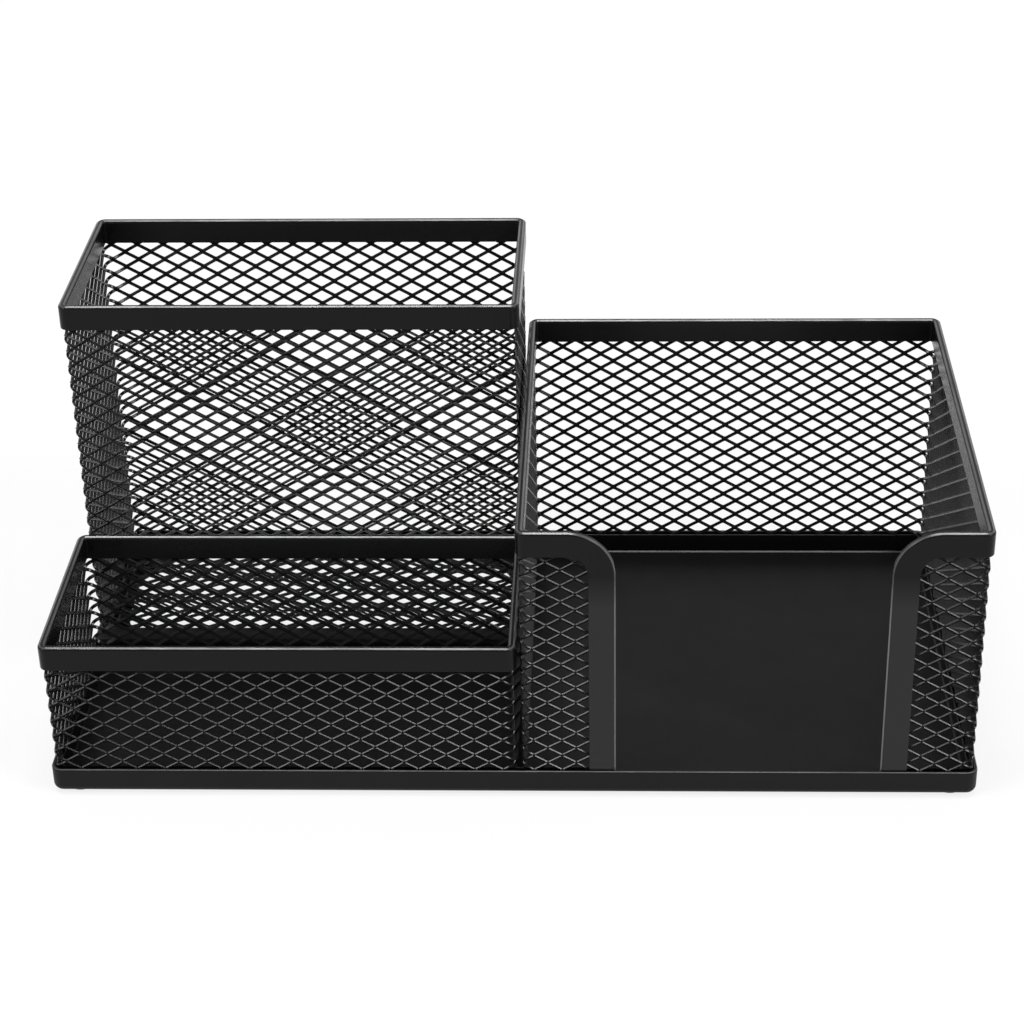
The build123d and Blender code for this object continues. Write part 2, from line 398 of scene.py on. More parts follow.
class Nodes:
    """Short ways to add and link the nodes of one tree."""

    def __init__(self, tree):
        self.tree = tree

    def feed(self, socket, value):
        """Links a field to a socket, or sets a constant on it."""
        if isinstance(value, Field):
            self.tree.links.new(value.socket, socket)
        else:
            socket.default_value = value

    def node(self, kind, feeds=None, **options):
        node = self.tree.nodes.new(kind)
        for option, value in options.items():
            setattr(node, option, value)
        for socket, value in (feeds or {}).items():
            self.feed(node.inputs[socket], value)
        return node

    def outputs(self, kind, feeds=None, **options):
        """Outputs of a new node by name."""
        node = self.node(kind, feeds, **options)
        return {socket.name: Field(self, socket) for socket in node.outputs if socket.enabled}

    def made(self, kind, feeds=None, **options):
        """First output of a new node."""
        return next(iter(self.outputs(kind, feeds, **options).values()))

    def math(self, operation, *values):
        return self.made("ShaderNodeMath", dict(enumerate(values)), operation=operation)

    def axes(self, vector):
        return self.outputs("ShaderNodeSeparateXYZ", {0: vector})

    def ranged(self, value, low, high, least=0, most=1):
        """Value brought from one range into another, and kept inside it."""
        return self.made("ShaderNodeMapRange", {"Value": value, "From Min": low, "From Max": high,
                                                "To Min": least, "To Max": most})


# Geometry Nodes

class Tree(Nodes):
    """One Geometry Nodes tree with its inputs."""

    def __init__(self, name, inputs):
        super().__init__(bpy.data.node_groups.new(name, "GeometryNodeTree"))
        sockets = self.tree.interface
        for label, kind in {"Geometry": "Geometry", **inputs, "Material": "Material"}.items():
            sockets.new_socket(label, in_out="INPUT", socket_type=f"NodeSocket{kind}")
        sockets.new_socket("Geometry", in_out="OUTPUT", socket_type="NodeSocketGeometry")
        self.given = self.outputs("NodeGroupInput")

    def place(self):
        return self.axes(self.made("GeometryNodeInputPosition"))

    def vector(self, operation, *values):
        return self.made("ShaderNodeVectorMath", dict(enumerate(values)), operation=operation)

    def drawn(self, curve, section, turn):
        """Ends the tree with the turned section drawn along the curve, as a plain mesh with its material."""
        rotation = self.made("ShaderNodeCombineXYZ", {"Z": turn})
        turned = self.made("GeometryNodeTransform", {"Geometry": section, "Rotation": rotation})
        feeds = {"Curve": curve, "Profile Curve": turned, "Fill Caps": True}
        mesh = self.made("GeometryNodeCurveToMesh", feeds)
        smooth = self.made("GeometryNodeSetShadeSmooth", {"Geometry": mesh})
        plain = self.made("GeometryNodeRealizeInstances", {"Geometry": smooth})
        feeds = {"Geometry": plain, "Material": self.given["Material"]}
        coated = self.made("GeometryNodeSetMaterial", feeds)
        self.feed(self.node("NodeGroupOutput").inputs[0], coated)
        return self.tree


def grown(path, group, values):
    """Plain mesh that a tree makes along a path. The path is used up."""
    modifier = path.modifiers.new(group.name, "NODES")
    modifier.node_group = group
    for item in group.interface.items_tree:
        if item.in_out == "INPUT" and item.name in values:
            modifier[item.identifier] = values[item.name]
    seen = path.evaluated_get(bpy.context.evaluated_depsgraph_get())
    mesh = bpy.data.meshes.new_from_object(seen)
    if not mesh.polygons:
        raise RuntimeError(f"{group.name} made nothing along {path.name}")
    bpy.data.objects.remove(path)
    merge_points(mesh)
    return mesh


def channel_tree():
    """Tree that draws a section along a path, with closed ends, and marks the band where a highlight is
    painted.
    """
    inputs = {"Section": "Object", "Turn": "Float", "Rub Top": "Float", "Rub Depth": "Float"}
    tree = Tree("Drawn section", inputs)
    given = tree.given
    info = tree.outputs("GeometryNodeObjectInfo", {"Object": given["Section"]}, transform_space="ORIGINAL")
    depth = tree.place()["X"] * -1
    # Band near the top of the section where a highlight is painted
    rub = (depth > given["Rub Top"]) * (depth < given["Rub Depth"])
    feeds = {"Geometry": info["Geometry"], "Name": HIGHLIGHT_ATTRIBUTE, "Value": rub}
    section = tree.made("GeometryNodeStoreNamedAttribute", feeds, data_type="FLOAT", domain="POINT")
    upright = tree.made("GeometryNodeSetCurveNormal", {"Curve": given["Geometry"]}, mode="MINIMUM_TWIST")
    return tree.drawn(upright, section, given["Turn"])


def zigzag_rows(tree):
    """Rows of strands, laid flat along and across the sheet, and the step from bond to bond.

    Two points make each bond, and neighbouring rows lean on each other at every other bond.
    """
    given = tree.given
    length_along = tree.made("GeometryNodeCurveLength", {"Curve": given["Geometry"]})
    bonds = round(length_along / given["Long Way"]) * 2
    columns = bonds * 2
    row_height = given["Short Way"] / 2
    rows = math.floor((given["Head"] - given["Foot"]) / row_height)
    span_x, span_y = columns - 1, rows - 1
    grid = tree.made("GeometryNodeMeshGrid", {"Size X": span_x, "Size Y": span_y,
                                              "Vertices X": columns, "Vertices Y": rows})
    ends = tree.outputs("GeometryNodeInputMeshEdgeVertices")
    climb = abs(tree.axes(ends["Position 1"])["Y"] - tree.axes(ends["Position 2"])["Y"])
    strands = tree.made("GeometryNodeDeleteGeometry", {"Geometry": grid, "Selection": climb > 0.5},
                        domain="EDGE", mode="EDGE_FACE")

    place = tree.place()
    column = round(place["X"] + span_x / 2)
    row = round(place["Y"] + span_y / 2)
    bond = math.floor(column / 2)
    step = length_along / bonds
    along = (bond + 0.5) * step + (column - bond * 2 - 0.5) * given["Bond"]
    swing = given["Short Way"] / 4 - given["Lap"]
    side = (bond + row) % 2 * 2 - 1
    across = given["Foot"] + (row + 0.5) * row_height + side * swing
    flat = tree.made("ShaderNodeCombineXYZ", {"X": along, "Y": across})
    laid = tree.made("GeometryNodeSetPosition", {"Geometry": strands, "Position": flat})
    return tree.made("GeometryNodeMeshToCurve", {"Mesh": laid}), step


def along_path(tree, distance):
    """Outputs of the path at a distance along it."""
    feeds = {"Curves": tree.given["Geometry"], "Length": distance}
    return tree.outputs("GeometryNodeSampleCurve", feeds, mode="LENGTH")


def wrapped_rows(tree):
    """Rows of strands laid round the path, finer in its bends, and the way out of the sheet."""
    rows, step = zigzag_rows(tree)
    rise = tree.given["Rise"]
    flat = tree.place()
    here = along_path(tree, flat["X"])
    ahead = along_path(tree, flat["X"] + step)
    cosine = tree.vector("DOT_PRODUCT", here["Tangent"], ahead["Tangent"])
    cuts = (cosine < STRAIGHT_COSINE) * tree.given["Corner Cuts"]
    finer = tree.made("GeometryNodeSubdivideCurve", {"Curve": rows, "Cuts": cuts})
    capture = tree.node("GeometryNodeCaptureAttribute", {"Geometry": finer})
    capture.capture_items.new("VECTOR", "Outward")
    tree.feed(capture.inputs["Outward"], tree.vector("CROSS_PRODUCT", here["Tangent"], rise))
    captured, outward = (Field(tree, capture.outputs[name]) for name in ("Geometry", "Outward"))
    risen = tree.made("ShaderNodeVectorMath", {0: rise, "Scale": flat["Y"]}, operation="SCALE")
    place = tree.vector("ADD", here["Position"], risen)
    return tree.made("GeometryNodeSetPosition", {"Geometry": captured, "Position": place}), outward


def beyond_window(tree):
    """Points that lie outside the channel's free edge beside the window."""
    given = tree.given
    radius = given["Window Radius"]
    place = tree.place()
    aside = abs(place["X"] - given["Window Middle"])
    inward = tree.math("MAXIMUM", given["Window Half"] + radius - aside, 0)
    upward = tree.math("MAXIMUM", place["Z"] - (given["Window Top"] - radius), 0)
    reach = tree.math("SQRT", inward * inward + upward * upward)
    return (reach > radius - given["Trim"]) * (place["Y"] < given["Window Front"])


MESH_MEASURES = ("Long Way", "Short Way", "Bond", "Lap", "Strand Width", "Strand Thickness",
                 "Strand Lean", "Strand Edge")
MESH_INPUTS = {"Closed": "Bool", "Rise": "Vector", "Corner Cuts": "Int",
               **dict.fromkeys(("Foot", "Head", *MESH_MEASURES), "Float")}
WINDOW_INPUTS = dict.fromkeys(("Window Middle", "Window Half", "Window Radius", "Window Top",
                               "Window Front", "Trim"), "Float")


def expanded_mesh_tree(with_window):
    """Tree that wraps expanded mesh along a path: slit rows of strands, joined at their bonds."""
    name = "Expanded mesh with a window" if with_window else "Expanded mesh"
    tree = Tree(name, {**MESH_INPUTS, **(WINDOW_INPUTS if with_window else {})})
    given = tree.given
    rows, outward = wrapped_rows(tree)
    if with_window:
        feeds = {"Geometry": rows, "Selection": beyond_window(tree)}
        rows = tree.made("GeometryNodeDeleteGeometry", feeds, domain="POINT")
    loops = tree.made("GeometryNodeSetSplineCyclic", {"Geometry": rows, "Cyclic": given["Closed"]})
    facing = tree.made("GeometryNodeSetCurveNormal", {"Curve": loops, "Normal": outward}, mode="FREE")
    blank = tree.made("GeometryNodeCurvePrimitiveQuadrilateral", {"Width": given["Strand Thickness"],
                                                                  "Height": given["Strand Width"]})
    edged = tree.made("GeometryNodeFilletCurve", {"Curve": blank, "Radius": given["Strand Edge"],
                                                  "Count": 1, "Limit Radius": True}, mode="POLY")
    return tree.drawn(facing, edged, given["Strand Lean"])


# Materials

# Scale and detail of each noise
MOTTLE = (55, 3)
GLOSS = (140, 2)
# Noise that breaks up the painted highlight on edges
HIGHLIGHT_BREAKUP = (90, 2)
PEEL = (1300, 2)
MESH_PEEL = (1900, 2)
DUST = (400, 4)
RUBBER_GLOSS = (900, 2)
GRAIN = (2500, 2)

# Range and least amount of the painted highlight
HIGHLIGHT_BREAKUP_RANGE = (0.3, 0.6)
LEAST_HIGHLIGHT = 0.6
BUMP_DISTANCE = 0.0001


class Shade(Nodes):
    """A new material with its principled shader, and short ways to give it a finish."""

    def __init__(self, name, base, specular):
        self.material = bpy.data.materials.new(name)
        self.material.use_nodes = True
        super().__init__(self.material.node_tree)
        self.shader = self.tree.nodes["Principled BSDF"].inputs
        self.feed(self.shader["Specular IOR Level"], specular)
        self.base = (*base, 1)
        self.place = self.outputs("ShaderNodeTexCoord")["Object"]

    def noise(self, scale, detail):
        return self.made("ShaderNodeTexNoise", {"Vector": self.place, "Scale": scale, "Detail": detail})

    def tinted(self, factor, tint):
        """Lays a colour over the base colour so far."""
        feeds = {"Factor": factor, "A": self.base, "B": (*tint, 1)}
        self.base = self.made("ShaderNodeMix", feeds, data_type="RGBA")
        self.feed(self.shader["Base Color"], self.base)

    def rubbed(self, painted, metal):
        """Paints a highlight on the edges that the piece marks, a lighter colour with a share of steel, and
        gives the factor for it.
        """
        edge = self.outputs("ShaderNodeAttribute", attribute_name=HIGHLIGHT_ATTRIBUTE)["Fac"]
        # Painted highlight on the marked edges, broken up by noise
        amount = edge * self.ranged(self.noise(*HIGHLIGHT_BREAKUP), *HIGHLIGHT_BREAKUP_RANGE, LEAST_HIGHLIGHT)
        self.tinted(amount, painted)
        self.feed(self.shader["Metallic"], amount * metal)
        return amount

    def roughened(self, factor, smooth, rough):
        self.feed(self.shader["Roughness"], self.ranged(factor, 0, 1, smooth, rough))

    def bumped(self, height, strength):
        feeds = {"Height": height, "Strength": strength, "Distance": BUMP_DISTANCE}
        self.feed(self.shader["Normal"], self.made("ShaderNodeBump", feeds))


def powder_coat(name, peel, smooth, rough, specular):
    """Black powder coat: fine orange peel, and more or less gloss from place to place."""
    finish = settings().finish
    shade = Shade(name, finish.coat_dark, specular)
    shade.tinted(shade.noise(*MOTTLE), finish.coat_light)
    shade.roughened(shade.noise(*GLOSS), smooth, rough)
    shade.bumped(shade.noise(*peel), finish.coat_peel)
    return shade


def highlighted_coat(name, smooth, rough, specular):
    """Powder coat with a highlight painted along folded edges. Every piece that needs it gets the same one.
    """
    if name not in bpy.data.materials:
        finish = settings().finish
        shade = powder_coat(name, PEEL, smooth, rough, specular)
        shade.rubbed(finish.rub_colour, finish.rub_metal)
    return bpy.data.materials[name]


def rim_coat():
    finish = settings().finish
    return highlighted_coat("powder_coat_on_rims", finish.coat_smooth, finish.coat_rough, finish.rim_specular)


def pan_coat():
    finish = settings().finish
    return highlighted_coat("satin_coat_on_pan", finish.pan_smooth, finish.pan_rough, finish.pan_specular)


def post_coat(level):
    """Coat of the note holder's channel, painted paler on the posts below a level, with a highlight painted
    on their edges.
    """
    finish = settings().finish
    shade = powder_coat("powder_coat_on_posts", PEEL, finish.coat_smooth, finish.coat_rough,
                        finish.rim_specular)
    # Painted paler below the bend of the window, fading upwards
    painted = shade.ranged(shade.axes(shade.place)["Z"], level, level - finish.post_fade)
    shade.tinted(painted, finish.post_paler_colour)
    edge = shade.rubbed(finish.rub_colour, finish.rub_metal)
    # Painted highlight on the edges of the posts
    shade.tinted(painted * edge, finish.post_edge_highlight)
    return shade.material


def mesh_coat():
    """Coat of the mesh, with finer orange peel."""
    name = "powder_coat_on_mesh"
    if name not in bpy.data.materials:
        finish = settings().finish
        powder_coat(name, MESH_PEEL, finish.coat_smooth, finish.coat_rough, finish.mesh_specular)
    return bpy.data.materials[name]


def pad_rubber():
    """Matt rubber with fine grain and dust."""
    finish = settings().finish
    shade = Shade("pad_rubber", finish.rubber_dark, finish.rubber_specular)
    shade.tinted(shade.noise(*DUST), finish.rubber_light)
    shade.roughened(shade.noise(*RUBBER_GLOSS), finish.rubber_smooth, finish.rubber_rough)
    shade.bumped(shade.noise(*GRAIN), finish.rubber_grain)
    return shade.material


# Sections of the folded pieces

def folded_edge(half):
    """Half of a folded edge from its middle outwards: ridge, shoulder and bend into the leg."""
    channel = settings().channel
    scale = 2 * half / channel.thickness
    ridge, crown, shoulder = channel.ridge * scale, channel.crown * scale, channel.shoulder * scale
    slope = channel.shoulder_slope
    rise, run = math.sin(slope), math.cos(slope)
    flat = half - shoulder * run - crown * (1 - rise) - ridge * rise
    turn = 90 - math.degrees(slope)
    side = bend((flat, -ridge), ridge, 90, turn, channel.crown_steps)
    end = (flat + ridge * rise + shoulder * run, -ridge + ridge * run - shoulder * rise)
    return side + bend((end[0] - crown * rise, end[1] - crown * run), crown, turn, 0, channel.crown_steps)


def mirrored(side):
    """Whole section from its one half, turned so that X points away from the mesh."""
    half = [(up, across) for across, up in side]
    return half + [(up, -across) for up, across in reversed(half)]


def channel_section():
    """Outline of the binding channel: X away from the mesh, Y across, the crown at zero."""
    channel = settings().channel
    half = channel.thickness / 2
    slot = half - channel.sheet
    foot = -channel.band
    hem = channel.hem
    side = folded_edge(half)
    side += bend((half - hem, foot + hem), hem, 0, -90, channel.hem_steps)
    side += bend((slot + hem, foot + hem), hem, -90, -180, channel.hem_steps)
    side.append((slot, -channel.sheet - channel.crown))
    return mirrored(side)


def divider_section(width, height):
    """Outline of the divider, open below, with the same axes as the channel."""
    divider = settings().divider
    half = width / 2
    fold = divider.bend_radius
    steps = divider.bend_steps
    side = bend((half - fold, -fold), fold, 90, 0, steps)
    side.append((half, -height))
    side.append((half - divider.sheet, -height))
    side += bend((half - fold, -fold), fold - divider.sheet, 0, 90, steps)
    return mirrored(side)


def hem_section(height):
    """Outline of the strip inside the lip, with the same axes as the channel and its foot to one side."""
    pan = settings().pan
    half = pan.hem / 2
    slope = settings().channel.shoulder_slope
    out, rise = pan.hem_foot * math.cos(slope), pan.hem_foot * math.sin(slope)
    side = arc((0, -half), half, 180, 0, pan.hem_steps)
    side += [(half, rise - height), (half + out, -height), (half + out, -height - pan.hem_sink)]
    side.append((-half, -height - pan.hem_sink))
    return [(up, -across) for across, up in side]


def drawn_section(path, outline, turn, coat, rub_depth):
    """Mesh of a section drawn along a path."""
    section = drawn_path("section", [(x, y, 0) for x, y in outline], True)
    rub_top = settings().finish.rub_top
    mesh = grown(path, channel_tree(), {"Section": section, "Turn": turn, "Rub Top": rub_top,
                                        "Rub Depth": rub_depth, "Material": coat})
    bpy.data.objects.remove(section)
    return mesh


# Pieces

class PanShell:
    """Rings of points and the faces between them, for the pressed pan."""

    def __init__(self, sizes, top):
        self.sizes = sizes
        self.top = top
        self.shell = bmesh.new()
        self.rub = self.shell.verts.layers.float.new(HIGHLIGHT_ATTRIBUTE)

    def ring(self, outline, radius, level):
        """Points round an outline at one level, marked where a highlight is painted on the edge of the lip.
        """
        finish = settings().finish
        scale = self.sizes.sheet / settings().channel.thickness
        # The top edge of the lip gets the same painted highlight as the channels
        rubbed = finish.rub_top * scale < self.top - level < finish.rub_depth * scale
        corners = []
        for x, y in rounded_path(outline, radius, self.sizes.corner_steps):
            corner = self.shell.verts.new((x, y, level))
            corner[self.rub] = float(rubbed)
            corners.append(corner)
        return corners

    def wall(self, rings):
        for lower, upper in zip(rings, rings[1:]):
            for here in range(len(lower)):
                there = (here + 1) % len(lower)
                self.shell.faces.new((lower[here], lower[there], upper[there], upper[here]))

    def flat(self, outer, inner, facing):
        """Fills the level sheet between two rings."""
        edges = []
        for ring in (outer, inner):
            edges += [self.shell.edges.get((ring[k - 1], ring[k])) for k in range(len(ring))]
        bmesh.ops.triangle_fill(self.shell, use_beauty=True, edges=edges, normal=facing)

    def mesh(self, name):
        bmesh.ops.recalc_face_normals(self.shell, faces=self.shell.faces)
        return shell_mesh(name, self.shell)


class PressPan(bpy.types.Operator):
    """Presses the pan with the opening under the pen cup, and draws the strip inside its lip"""

    bl_idname = "organizer.press_pan"
    bl_label = "Press Pan"

    def execute(self, context):
        plan = node_plan("base_pan")
        floor = plan.foot + settings().pan.sheet
        finish_piece("pressed_pan", self.pan_mesh(plan, floor), ["base_pan"])
        finish_piece("mesh_hem", self.hem_mesh(plan, floor), [], True)
        return {"FINISHED"}

    def lip_section(self, plan, floor):
        """Depth and level of each ring, from under the floor over the lip to the top of the floor."""
        sizes = settings().pan
        fold = (sizes.bend_radius, plan.foot + sizes.bend_radius)
        half = sizes.sheet / 2
        edge = folded_edge(half)
        section = [(sizes.floor_margin, plan.foot)]
        section += bend(fold, sizes.bend_radius, 270, 180, sizes.bend_steps)
        section += [(half - across, plan.top + up) for across, up in reversed(edge)]
        section += [(half + across, plan.top + up) for across, up in edge]
        section += bend(fold, sizes.bend_radius - sizes.sheet, 180, 270, sizes.bend_steps)
        section.append((sizes.floor_margin, floor))
        return section

    def pan_mesh(self, plan, floor):
        """Lip, punched opening and the sheet between them."""
        sizes = settings().pan
        burr = sizes.burr_radius
        punched = arc((0, floor - burr), burr, 90, 0, sizes.burr_steps)
        punched += arc((0, plan.foot + burr), burr, 0, -90, sizes.burr_steps)
        opening = node_plan("pen_cup_floor_mesh").inset(sizes.opening_ledge)
        shell = PanShell(sizes, plan.top)
        lip = [shell.ring(plan.inset(depth), sizes.corner_radius - depth, level)
               for depth, level in self.lip_section(plan, floor)]
        edge = [shell.ring(opening.inset(depth - burr), sizes.opening_radius, level)
                for depth, level in punched]
        shell.wall(lip)
        shell.wall(edge)
        shell.flat(lip[-1], edge[0], UP)
        shell.flat(lip[0], edge[-1], -UP)
        mesh = shell.mesh("pressed_pan")
        mesh.materials.append(pan_coat())
        return mesh

    def hem_mesh(self, plan, floor):
        """Strip that holds the foot of the mesh inside the lip, all round from post to post."""
        sizes = settings().pan
        rim = node_plan("note_holder_rim")
        aside = settings().channel.front_side - settings().channel.band
        line = plan.inset(sizes.hem_setback + sizes.hem / 2)
        around = rounded_path(line, sizes.corner_radius - sizes.hem_setback, sizes.corner_steps)
        points = [(rim.right - aside, line.front), *around, (rim.left + aside, line.front)]
        top = plan.top - sizes.hem_drop
        path = drawn_path("hem", [(x, y, top) for x, y in points], False)
        return drawn_section(path, hem_section(top - floor), LEVEL_TURN, rim_coat(), NO_HIGHLIGHT)


class FoldDivider(bpy.types.Operator):
    """Folds the channel between the tray and the pen cup"""

    bl_idname = "organizer.fold_divider"
    bl_label = "Fold Divider"

    def execute(self, context):
        plan = node_plan("divider_channel")
        middle = (plan.front + plan.back) / 2
        ends = [(plan.left, middle, plan.top), (plan.right, middle, plan.top)]
        path = drawn_path("divider", ends, False)
        outline = divider_section(plan.back - plan.front, plan.top - plan.foot)
        mesh = drawn_section(path, outline, LEVEL_TURN, pan_coat(), NO_HIGHLIGHT)
        finish_piece("folded_divider", mesh, ["divider_channel"])
        return {"FINISHED"}


def mesh_values(foot, head, closed, rise):
    """Inputs of the mesh tree that every sheet shares."""
    sizes = settings().mesh
    values = {"Closed": closed, "Rise": rise, "Foot": foot, "Head": head,
              "Corner Cuts": sizes.corner_cuts, "Material": mesh_coat()}
    for name in MESH_MEASURES:
        values[name] = getattr(sizes, name.lower().replace(" ", "_"))
    return values


class WrapSleeves(bpy.types.Operator):
    """Wraps the expanded mesh round the pen cup, the clip tray and the note holder"""

    bl_idname = "organizer.wrap_sleeves"
    bl_label = "Wrap Mesh Sleeves"

    def execute(self, context):
        sizes = settings().mesh
        tree = expanded_mesh_tree(False)
        for box in BOXES:
            walls = wall_nodes(box)
            sheet = node_plan(f"{box}_rim").inset(sizes.setback)
            corners = rounded_outline(sheet, sizes.corner_radius, sizes.corner_steps)
            front_right, back_right, back_left, front_left = corners
            seam = ((sheet.left + sheet.right) / 2, sheet.back)
            points = [seam, *back_left, *front_left, *front_right, *back_right]
            path = drawn_path(box, [(x, y, 0) for x, y in points], True)
            level = node_plan(*walls)
            mesh = grown(path, tree, mesh_values(level.foot, level.top, True, UP))
            finish_piece(f"{box}_sleeve", mesh, walls, True)
        self.wrap_note_holder()
        return {"FINISHED"}

    def wrap_note_holder(self):
        """Wraps the sheet that ends on both sides of the window."""
        sizes = settings().mesh
        channel = settings().channel
        walls = wall_nodes("note_holder")
        rim = node_plan("note_holder_rim")
        sheet = rim.inset(sizes.setback)
        around = rounded_path(sheet, sizes.corner_radius, sizes.corner_steps)
        start = (rim.right - channel.front_side + sizes.trim, sheet.front)
        end = (rim.left + channel.front_side - sizes.trim, sheet.front)
        path = drawn_path("note_holder", [(x, y, 0) for x, y in (start, *around, end)], False)
        level = node_plan(*walls)
        values = mesh_values(level.foot, level.top, False, UP)
        values |= {
            "Window Middle": (rim.left + rim.right) / 2,
            "Window Half": (rim.right - rim.left) / 2 - channel.front_side,
            "Window Radius": channel.window_radius,
            "Window Top": rim.top,
            "Window Front": rim.front + channel.corner_radius,
            "Trim": sizes.trim,
        }
        mesh = grown(path, expanded_mesh_tree(True), values)
        finish_piece("note_holder_sleeve", mesh, walls, True)


class LayCupFloor(bpy.types.Operator):
    """Lays the mesh panel on the floor of the pen cup"""

    bl_idname = "organizer.lay_cup_floor"
    bl_label = "Lay Cup Floor"

    def execute(self, context):
        panel = node_plan("pen_cup_floor_mesh")
        level = (panel.foot + panel.top) / 2
        path = drawn_path("cup_floor", [(panel.left, 0, level), (panel.right, 0, level)], False)
        values = mesh_values(panel.front, panel.back, False, BACKWARDS)
        mesh = grown(path, expanded_mesh_tree(False), values)
        finish_piece("pen_cup_floor_panel", mesh, ["pen_cup_floor_mesh"], True)
        return {"FINISHED"}


class BindBoxes(bpy.types.Operator):
    """Binds the top edges of the pen cup and the clip tray"""

    bl_idname = "organizer.bind_boxes"
    bl_label = "Bind Cup And Tray"

    def execute(self, context):
        channel = settings().channel
        half = channel.thickness / 2
        for box in BOXES:
            rim = node_plan(f"{box}_rim")
            around = rounded_path(rim.inset(half), channel.corner_radius - half, channel.corner_steps)
            path = drawn_path(box, [(x, y, rim.top) for x, y in around], True)
            rub_depth = settings().finish.rub_depth
            mesh = drawn_section(path, channel_section(), LEVEL_TURN, rim_coat(), rub_depth)
            finish_piece(f"{box}_binding", mesh, [f"{box}_rim"])
        return {"FINISHED"}


class BindNoteHolder(bpy.types.Operator):
    """Binds the note holder with one channel that bends down beside the window into two posts"""

    bl_idname = "organizer.bind_note_holder"
    bl_label = "Bind Note Holder"

    def execute(self, context):
        channel = settings().channel
        half = channel.thickness / 2
        rim = node_plan("note_holder_rim")
        middle = (rim.left + rim.right) / 2
        line = rim.inset(half)
        left_post = self.post(rim, line.front)
        right_post = [(2 * middle - x, y, z) for x, y, z in reversed(left_post)]
        around = rounded_path(line, channel.corner_radius - half, channel.corner_steps)
        top = [(x, y, rim.top) for x, y in reversed(around)]
        path = drawn_path("note_holder", [*left_post, *top, *right_post], False)
        coat = post_coat(rim.top - channel.window_radius)
        mesh = drawn_section(path, channel_section(), POST_TURN, coat, settings().finish.rub_depth)
        finish_piece("note_holder_binding", mesh, ["note_holder_rim"])
        return {"FINISHED"}

    def post(self, rim, front):
        """Line of the left post from its foot, set in behind the lip, to the top of the bend."""
        channel = settings().channel
        lip_top = node_plan("base_pan").top
        edge = rim.left + channel.front_side
        radius = channel.window_radius
        shoulder = bend((edge - radius, rim.top - radius), radius, 0, 90, channel.window_steps)
        foot = [
            (edge, front + channel.joggle, rim.foot),
            (edge, front + channel.joggle, lip_top),
            (edge, front, lip_top + channel.joggle_run),
            (edge, front, lip_top + 2 * channel.joggle_run),
        ]
        return foot + [(x, front, z) for x, z in shoulder]


class StickPads(bpy.types.Operator):
    """Sticks the rubber pads under the corners of the pan"""

    bl_idname = "organizer.stick_pads"
    bl_label = "Stick Pads"

    def execute(self, context):
        rubber = pad_rubber()
        for node in sorted(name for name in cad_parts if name.startswith("foot_pad")):
            mesh = self.pad_mesh(node_plan(node), settings().pad)
            mesh.materials.append(rubber)
            finish_piece(node.replace("foot", "rubber"), mesh, [node])
        return {"FINISHED"}

    def pad_mesh(self, plan, sizes):
        """Turned disc with a rounded lower edge."""
        centre = Vector(((plan.left + plan.right) / 2, (plan.front + plan.back) / 2, 0))
        radius = (plan.right - plan.left) / 2
        edge = arc((radius - sizes.edge, plan.foot + sizes.edge), sizes.edge, -90, 0, sizes.edge_steps)
        outline = [(0, plan.foot), (radius / 2, plan.foot), *edge, (radius, plan.top), (0, plan.top)]
        shell = bmesh.new()
        points = [shell.verts.new((centre.x + across, centre.y, level)) for across, level in outline]
        edges = [shell.edges.new(pair) for pair in zip(points, points[1:])]
        bmesh.ops.spin(shell, geom=points + edges, cent=centre, axis=UP, angle=math.tau, steps=sizes.sides)
        mesh = shell_mesh("pad", shell)
        merge_points(mesh)
        return mesh


# Stage

def seen_by_camera(nodes):
    """Factor that is 1 for what the camera sees, also in gloss and through glass."""
    path = nodes.outputs("ShaderNodeLightPath")
    seen = nodes.math("MAXIMUM", path["Is Camera Ray"], path["Is Glossy Ray"])
    return nodes.math("MAXIMUM", seen, path["Is Transmission Ray"])


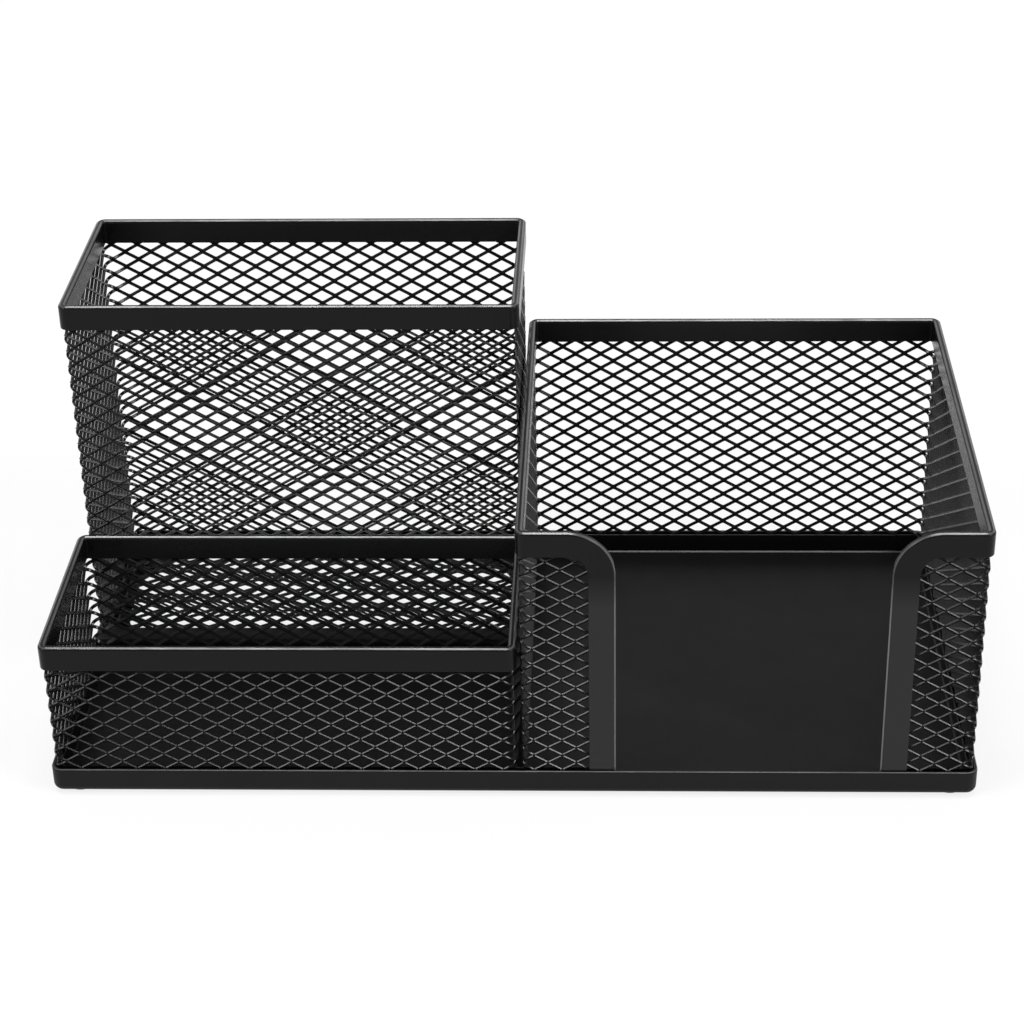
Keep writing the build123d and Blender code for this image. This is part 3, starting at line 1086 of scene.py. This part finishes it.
class SetStage(bpy.types.Operator):
    """Sets the pale floor, the soft light and the camera"""

    bl_idname = "organizer.set_stage"
    bl_label = "Set Stage"

    def execute(self, context):
        stage = settings().stage
        self.add_floor(stage)
        self.light_room(context.scene, stage)
        for step in KEY_STEPS:
            tilt = stage.key_tilt + step * stage.key_step
            above = Vector((-math.sin(tilt), -math.sin(stage.key_forward), math.cos(tilt)))
            self.add_softbox("key", above, stage.key_spread, stage.key_light / len(KEY_STEPS))
        for name, side, strength in (("left", -1, stage.left_light), ("right", 1, stage.right_light)):
            for step in SIDE_STEPS:
                height = stage.side_height + step * stage.side_rise
                turn = stage.side_turn + step * stage.side_step
                aside = Vector((side * math.cos(turn), -math.sin(turn), math.tan(height)))
                self.add_softbox(name, aside, stage.side_spread, strength / len(SIDE_STEPS))
        self.add_camera(context.scene, stage)
        context.scene.view_settings.view_transform = "Standard"
        return {"FINISHED"}

    def add_floor(self, stage):
        half = stage.floor_size / 2
        mesh = bpy.data.meshes.new("floor")
        corners = [(-half, -half, 0), (half, -half, 0), (half, half, 0), (-half, half, 0)]
        mesh.from_pydata(corners, [], [(0, 1, 2, 3)])
        mesh.materials.append(self.floor_material(stage))
        floor = placed("floor", mesh)

    def floor_material(self, stage):
        """Matt floor that takes a soft shadow, paled for the camera, and clear from below."""
        material = bpy.data.materials.new("pale_floor")
        material.use_nodes = True
        nodes = Nodes(material.node_tree)
        nodes.tree.nodes.remove(nodes.tree.nodes["Principled BSDF"])
        matt = nodes.made("ShaderNodeBsdfDiffuse", {"Color": (*stage.floor_colour, 1)})
        white = nodes.made("ShaderNodeEmission")
        glow = seen_by_camera(nodes) * stage.floor_glow
        paled = nodes.made("ShaderNodeMixShader", {0: glow, 1: matt, 2: white})
        clear = nodes.made("ShaderNodeBsdfTransparent")
        below = nodes.outputs("ShaderNodeNewGeometry")["Backfacing"]
        both = nodes.made("ShaderNodeMixShader", {0: below, 1: paled, 2: clear})
        nodes.feed(nodes.tree.nodes["Material Output"].inputs["Surface"], both)
        return material

    def light_room(self, scene, stage):
        """Room with white walls, higher behind the object, that fade into dimmer light above."""
        world = bpy.data.worlds.new("room")
        world.use_nodes = True
        nodes = Nodes(world.node_tree)
        direction = nodes.axes(nodes.outputs("ShaderNodeTexCoord")["Generated"])
        height = direction["Z"] - nodes.math("MAXIMUM", direction["Y"], 0) * stage.wall_rise
        light = nodes.ranged(height, stage.wall_low, stage.wall_high, 1, stage.room_light)
        room = nodes.tree.nodes["Background"].inputs
        nodes.feed(room["Color"], (1, 1, 1, 1))
        nodes.feed(room["Strength"], light)
        scene.world = world

    def add_softbox(self, name, direction, spread, strength):
        """Round softbox, so far off that its light is even over the floor."""
        light = bpy.data.lights.new(name, "SUN")
        light.angle = spread
        light.energy = strength
        lamp = placed(name, light)
        lamp.rotation_euler = direction.to_track_quat("Z", "Y").to_euler()

    def add_camera(self, scene, stage):
        data = bpy.data.cameras.new("camera")
        data.lens = stage.camera_lens
        data.shift_x, data.shift_y = stage.camera_shift
        data.clip_start = CLIP_START
        camera = placed("camera", data)
        turn = Matrix.Rotation(-stage.camera_yaw, 4, "Z")
        turn @= Matrix.Rotation(math.pi / 2 - stage.camera_pitch, 4, "X")
        turn @= Matrix.Rotation(stage.camera_roll, 4, "Z")
        camera.matrix_world = Matrix.Translation(stage.camera_place) @ turn
        scene.camera = camera


MAKERS = (PressPan, FoldDivider, WrapSleeves, LayCupFloor, BindBoxes, BindNoteHolder, StickPads, SetStage)


class OrganizerPanel(bpy.types.Panel):
    """Lists the steps that make the organizer"""

    bl_idname = "VIEW3D_PT_organizer"
    bl_label = "Mesh Desk Organizer"
    bl_space_type = "VIEW_3D"
    bl_region_type = "UI"
    bl_category = "Organizer"

    def draw(self, context):
        for maker in MAKERS:
            self.layout.operator(maker.bl_idname)


CLASSES = (PanSizes, MeshSizes, ChannelSizes, DividerSizes, PadSizes, Finishes, StageSettings,
           OrganizerSettings, *MAKERS, OrganizerPanel)


def register():
    for cls in CLASSES:
        bpy.utils.register_class(cls)
    bpy.types.Scene.organizer = PointerProperty(type=OrganizerSettings)


def unregister():
    del bpy.types.Scene.organizer
    for cls in reversed(CLASSES):
        bpy.utils.unregister_class(cls)


def main():
    register()
    for maker in MAKERS:
        group, name = maker.bl_idname.split(".")
        getattr(getattr(bpy.ops, group), name)()


if __name__ == "__main__":
    main()
